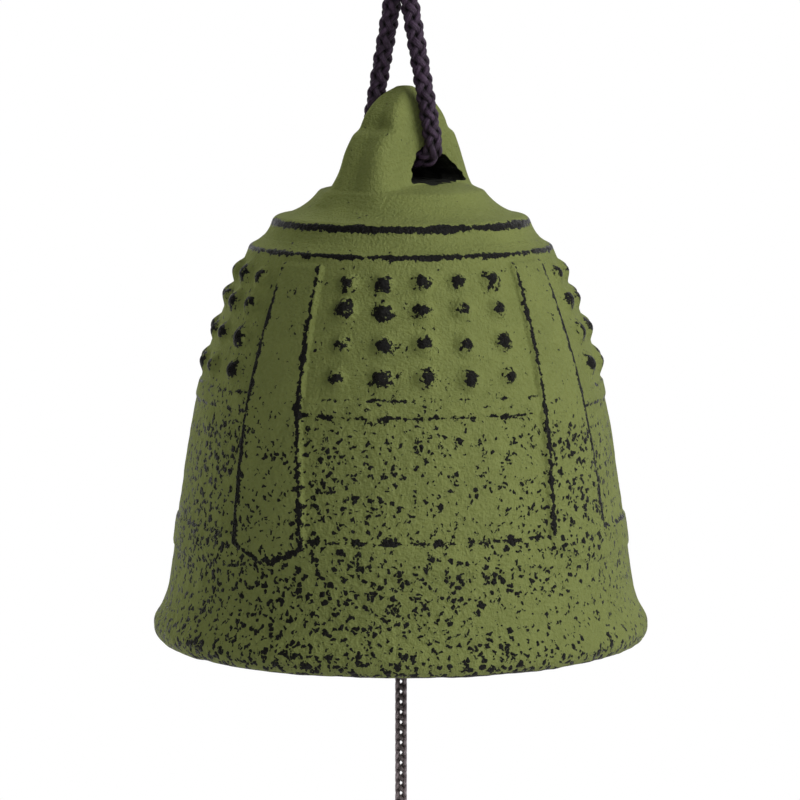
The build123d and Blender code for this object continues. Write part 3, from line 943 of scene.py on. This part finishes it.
class WINDBELL_OT_cords(bpy.types.Operator):
    """Braid the thick hanging cord and the thin clapper cord, with their knots"""

    bl_idname = "windbell.cords"
    bl_label = "Cords and knots"

    def execute(self, context):
        settings = context.scene.wind_bell
        # the last colour of each yarn is the painted shade in the strands' low places
        purple = yarn("braided_rayon_cord_purple_black", "#4a374e", "#1c111d", "#0c070b", 0.25)
        grey = yarn("flat_braided_rayon_cord_grey", "#a99ca1", "#776c6e", "#655b5b", 0.2)
        thick, thin = (purple, "hanging_cord"), (grey, "clapper_cord")
        lay = settings.braid_lay / MM
        knot = self.knot("hanger_knot", "hanger", HANGER_KNOT, (1.5, 0.75, 1.45),
                         settings.knot_points, THICK_RADIUS, THICK_STRAND, turns=3, finish=thick)
        for node, body, half, length in (
            ("hanging_loop", "loop", HOOK_ROUTE, 0.0563),
            ("hanging_cord", "legs", LUG_ROUTE, 0.0531),
        ):
            line = route_line(mirrored(half), THICK_STEP)
            offsets = round_braid(len(line), len(line) * THICK_STEP / lay, THICK_RADIUS, THICK_STRAND)
            piece = cord_piece(node, body, thick, line, (1, 0, 0), offsets, THICK_STRAND, flat=PRESSED)
            declare((0, 0, (HANGER_KNOT - HOOK) * MM), length, THICK_DIAMETER, [knot])
        self.thin_cord(settings.eyelet_pitch / MM, thin)
        return {"FINISHED"}

    def knot(self, node, body, height, shape, count, radius, strand, turns, finish):
        """A knot of round braid whose strands turn so many times along its line."""
        line = knot_line(height, *shape, count)
        offsets = [offset[:-1] for offset in round_braid(count + 1, turns, radius, strand)]
        out = line - (0, 0, height)
        return cord_piece(node, body, finish, line, out, offsets, strand, closed=True, flat=PRESSED)

    def thin_cord(self, pitch, finish):
        """The thin cord: three knots, the ring in the eye, the paper's loop and two runs."""
        knots = [self.knot(*knot, *THIN_KNOT_BRAID, turns=2, finish=finish) for knot in THIN_KNOTS]
        t = circle(EYE_RING_POINTS)
        ring = np.stack([EYE_RING * np.sin(t), 0 * t, EYE_RING_HEIGHT + EYE_RING * np.cos(t)], -1)
        spacing = 2 * np.pi * EYE_RING / EYE_RING_POINTS
        ring_pitch = EYE_RING_POINTS * spacing / 8
        offsets = flat_braid(EYE_RING_POINTS, spacing, EYE_HALF_WIDTH, EYE_STRAND, ring_pitch)
        loop = cord_piece("eye_loop", "bell", finish, ring, (0, 1, 0), offsets, EYE_STRAND, closed=True)
        line = route_line(mirrored(PAPER_ROUTE), LOOP_STEP)
        offsets = round_braid(len(line), 4, LOOP_RADIUS, LOOP_STRAND)
        holder = cord_piece("paper_loop", "paper_holder", finish, line, (1, 0, 0), offsets, LOOP_STRAND)
        for node, body, route, length, with_pieces in (
            ("clapper_cord", "clapper", CLAPPER_ROUTE, 0.0345, [*knots[:2], loop]),
            ("tail_cord", "tail", TAIL_ROUTE, 0.0338, [knots[2], holder]),
        ):
            line = route_line([(0, y, h) for y, h in route], THIN_STEP)
            offsets = flat_braid(len(line), THIN_STEP, THIN_HALF_WIDTH, THIN_STRAND, pitch)
            piece = cord_piece(node, body, finish, line, PHOTO_RIGHT, offsets, THIN_STRAND)
            declare(tuple(in_frame(line)[0]), length, THIN_DIAMETER, with_pieces)


class WINDBELL_OT_paper(bpy.types.Operator):
    """Make the paper wind catcher"""

    bl_idname = "windbell.paper"
    bl_label = "Paper strip"

    def execute(self, context):
        bend = context.scene.wind_bell.paper_bend / MM
        material = paper_finish()
        half, cells = PAPER_HALF_WIDTH, 56
        x, z = np.meshgrid(np.linspace(-half, half, cells + 1), np.linspace(PAPER_TOP, PAPER_BOTTOM, 160))
        down = (PAPER_TOP - z) / (PAPER_TOP - PAPER_BOTTOM)
        bow = bend * (smoothstep(down, 0.12, 1.0) * (1 - (x / half) ** 2 * 0.5) + 0.5 * down**2 * x / half)
        front = np.stack([x, bow - PAPER_THICKNESS / 2, z], -1)
        back = front + (0, PAPER_THICKNESS, 0)
        ring = np.concatenate([front, back[:, ::-1]], axis=1)
        columns = ring.shape[1]
        i = np.arange(cells)
        end = np.stack([i, i + 1, columns - 2 - i, columns - 1 - i], -1)
        faces = np.concatenate([
            grid_faces(len(ring), columns, True), end[:, ::-1], (len(ring) - 1) * columns + end,
        ])
        sheet = add_piece("paper_strip", ring, faces, [material])
        around = circle(48)
        rows = np.array([-3.0, -3.0, 3.0, 3.0])[:, None]
        size = np.array([0, PUNCH_RADIUS, PUNCH_RADIUS, 0])[:, None]
        tube = np.stack([size * np.cos(around), rows + 0 * around, PUNCH_HEIGHT + size * np.sin(around)], -1)
        cut(sheet, add_piece("punch", tube, grid_faces(4, 48, True), [material]))
        carry(sheet, "paper", "wind_paper", "paper")
        return {"FINISHED"}


class WINDBELL_OT_stage(bpy.types.Operator):
    """Set the camera, the lights, the white surroundings and the floor"""

    bl_idname = "windbell.stage"
    bl_label = "Stage"

    def execute(self, context):
        scene = context.scene
        self.set_camera(scene)
        for name, right, near, up, size, power in LAMPS:
            light = bpy.data.lights.new(name, "AREA")
            light.shape, light.size, light.energy = "DISK", size, power
            lamp = bpy.data.objects.new(name, light)
            away = (PHOTO_RIGHT * right + PHOTO_SIDE * near + Vector((0, 0, up))).normalized()
            lamp.location = LAMP_CENTRE + away * LAMP_DISTANCE
            lamp.rotation_euler = away.to_track_quat("Z", "Y").to_euler()
            lamp.visible_glossy = name in ("key", "fill")
            scene.collection.objects.link(lamp)
        self.set_world(scene)
        side = np.linspace(-FLOOR_HALF, FLOOR_HALF, FLOOR_POINTS)
        x, y = np.meshgrid(side, side)
        points = np.stack([x, y, np.full_like(x, HOOK - FLOOR_DEPTH)], -1)
        faces = grid_faces(FLOOR_POINTS, FLOOR_POINTS, False)
        add_piece("floor", points, faces, [pale_floor()])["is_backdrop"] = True
        scene.view_settings.view_transform = "Standard"
        return {"FINISHED"}

    def set_camera(self, scene):
        """The photograph's view, from far off through a long lens."""
        aim = Vector((0, 0, (AIM_HEIGHT - HOOK) * MM))
        place = PHOTO_SIDE.normalized() * CAMERA_DISTANCE * MM + Vector((0, 0, (CAMERA_HEIGHT - HOOK) * MM))
        data = bpy.data.cameras.new("photo_camera")
        data.sensor_width, data.lens = SENSOR, LENS
        data.clip_start = 0.01
        data.shift_x = SIDEWAYS
        camera = bpy.data.objects.new("photo_camera", data)
        camera.location = place
        camera.rotation_euler = (aim - place).to_track_quat("-Z", "Y").to_euler()
        scene.collection.objects.link(camera)
        scene.camera = camera

    def set_world(self, scene):
        """White to the camera, dim to matt surfaces, and white to shiny ones only behind the bell."""
        world = bpy.data.worlds.new("white_room")
        scene.world = world
        world.use_nodes = True
        tree = world.node_tree
        tree.nodes.clear()
        path = add(tree, "LightPath")
        ahead = add(tree, "VectorMath", {0: add(tree, "TexCoord").outputs["Generated"]},
                    operation="DOT_PRODUCT")
        ahead.inputs[1].default_value = -PHOTO_SIDE.normalized()
        backdrop = step_up(tree, ahead.outputs["Value"], 0.45, 0.85, 0.1, 1.0)
        shiny = calc(tree, "MAXIMUM", path.outputs["Is Glossy Ray"], path.outputs["Is Transmission Ray"])
        lit = times(tree, shiny, backdrop)
        plain = times(tree, calc(tree, "SUBTRACT", 1, shiny), ROOM_LIGHT)
        strength = calc(tree, "MAXIMUM", path.outputs["Is Camera Ray"], calc(tree, "ADD", lit, plain))
        sky = add(tree, "Background", {"Strength": strength}, Color=(1, 1, 1, 1))
        add(tree, "OutputWorld", {"Surface": sky.outputs[0]})


class WINDBELL_PT_panel(bpy.types.Panel):
    """The sidebar's settings and buttons"""

    bl_idname = "WINDBELL_PT_panel"
    bl_label = "Wind bell"
    bl_space_type = "VIEW_3D"
    bl_region_type = "UI"
    bl_category = "Wind bell"

    def draw(self, context):
        settings = context.scene.wind_bell
        for name in WindBellSettings.__annotations__:
            self.layout.prop(settings, name)
        for operator in OPERATORS:
            self.layout.operator(operator.bl_idname)


OPERATORS = (
    WINDBELL_OT_stage,
    WINDBELL_OT_cords,
    WINDBELL_OT_casting,
    WINDBELL_OT_ironwork,
    WINDBELL_OT_paper,
)
CLASSES = (WindBellSettings, *OPERATORS, WINDBELL_PT_panel)


def register():
    for cls in CLASSES:
        bpy.utils.register_class(cls)
    bpy.types.Scene.wind_bell = PointerProperty(type=WindBellSettings)


def unregister():
    del bpy.types.Scene.wind_bell
    for cls in reversed(CLASSES):
        bpy.utils.unregister_class(cls)


def main():
    register()
    bpy.ops.windbell.stage()
    bpy.ops.windbell.cords()
    bpy.ops.windbell.casting()
    bpy.ops.windbell.ironwork()
    bpy.ops.windbell.paper()
    boxes = {"cad": CAD_BOX, "visual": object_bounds()}
    boxes = {name: [[float(v) for v in corner] for corner in box] for name, box in boxes.items()}


if __name__ == "__main__":
    main()
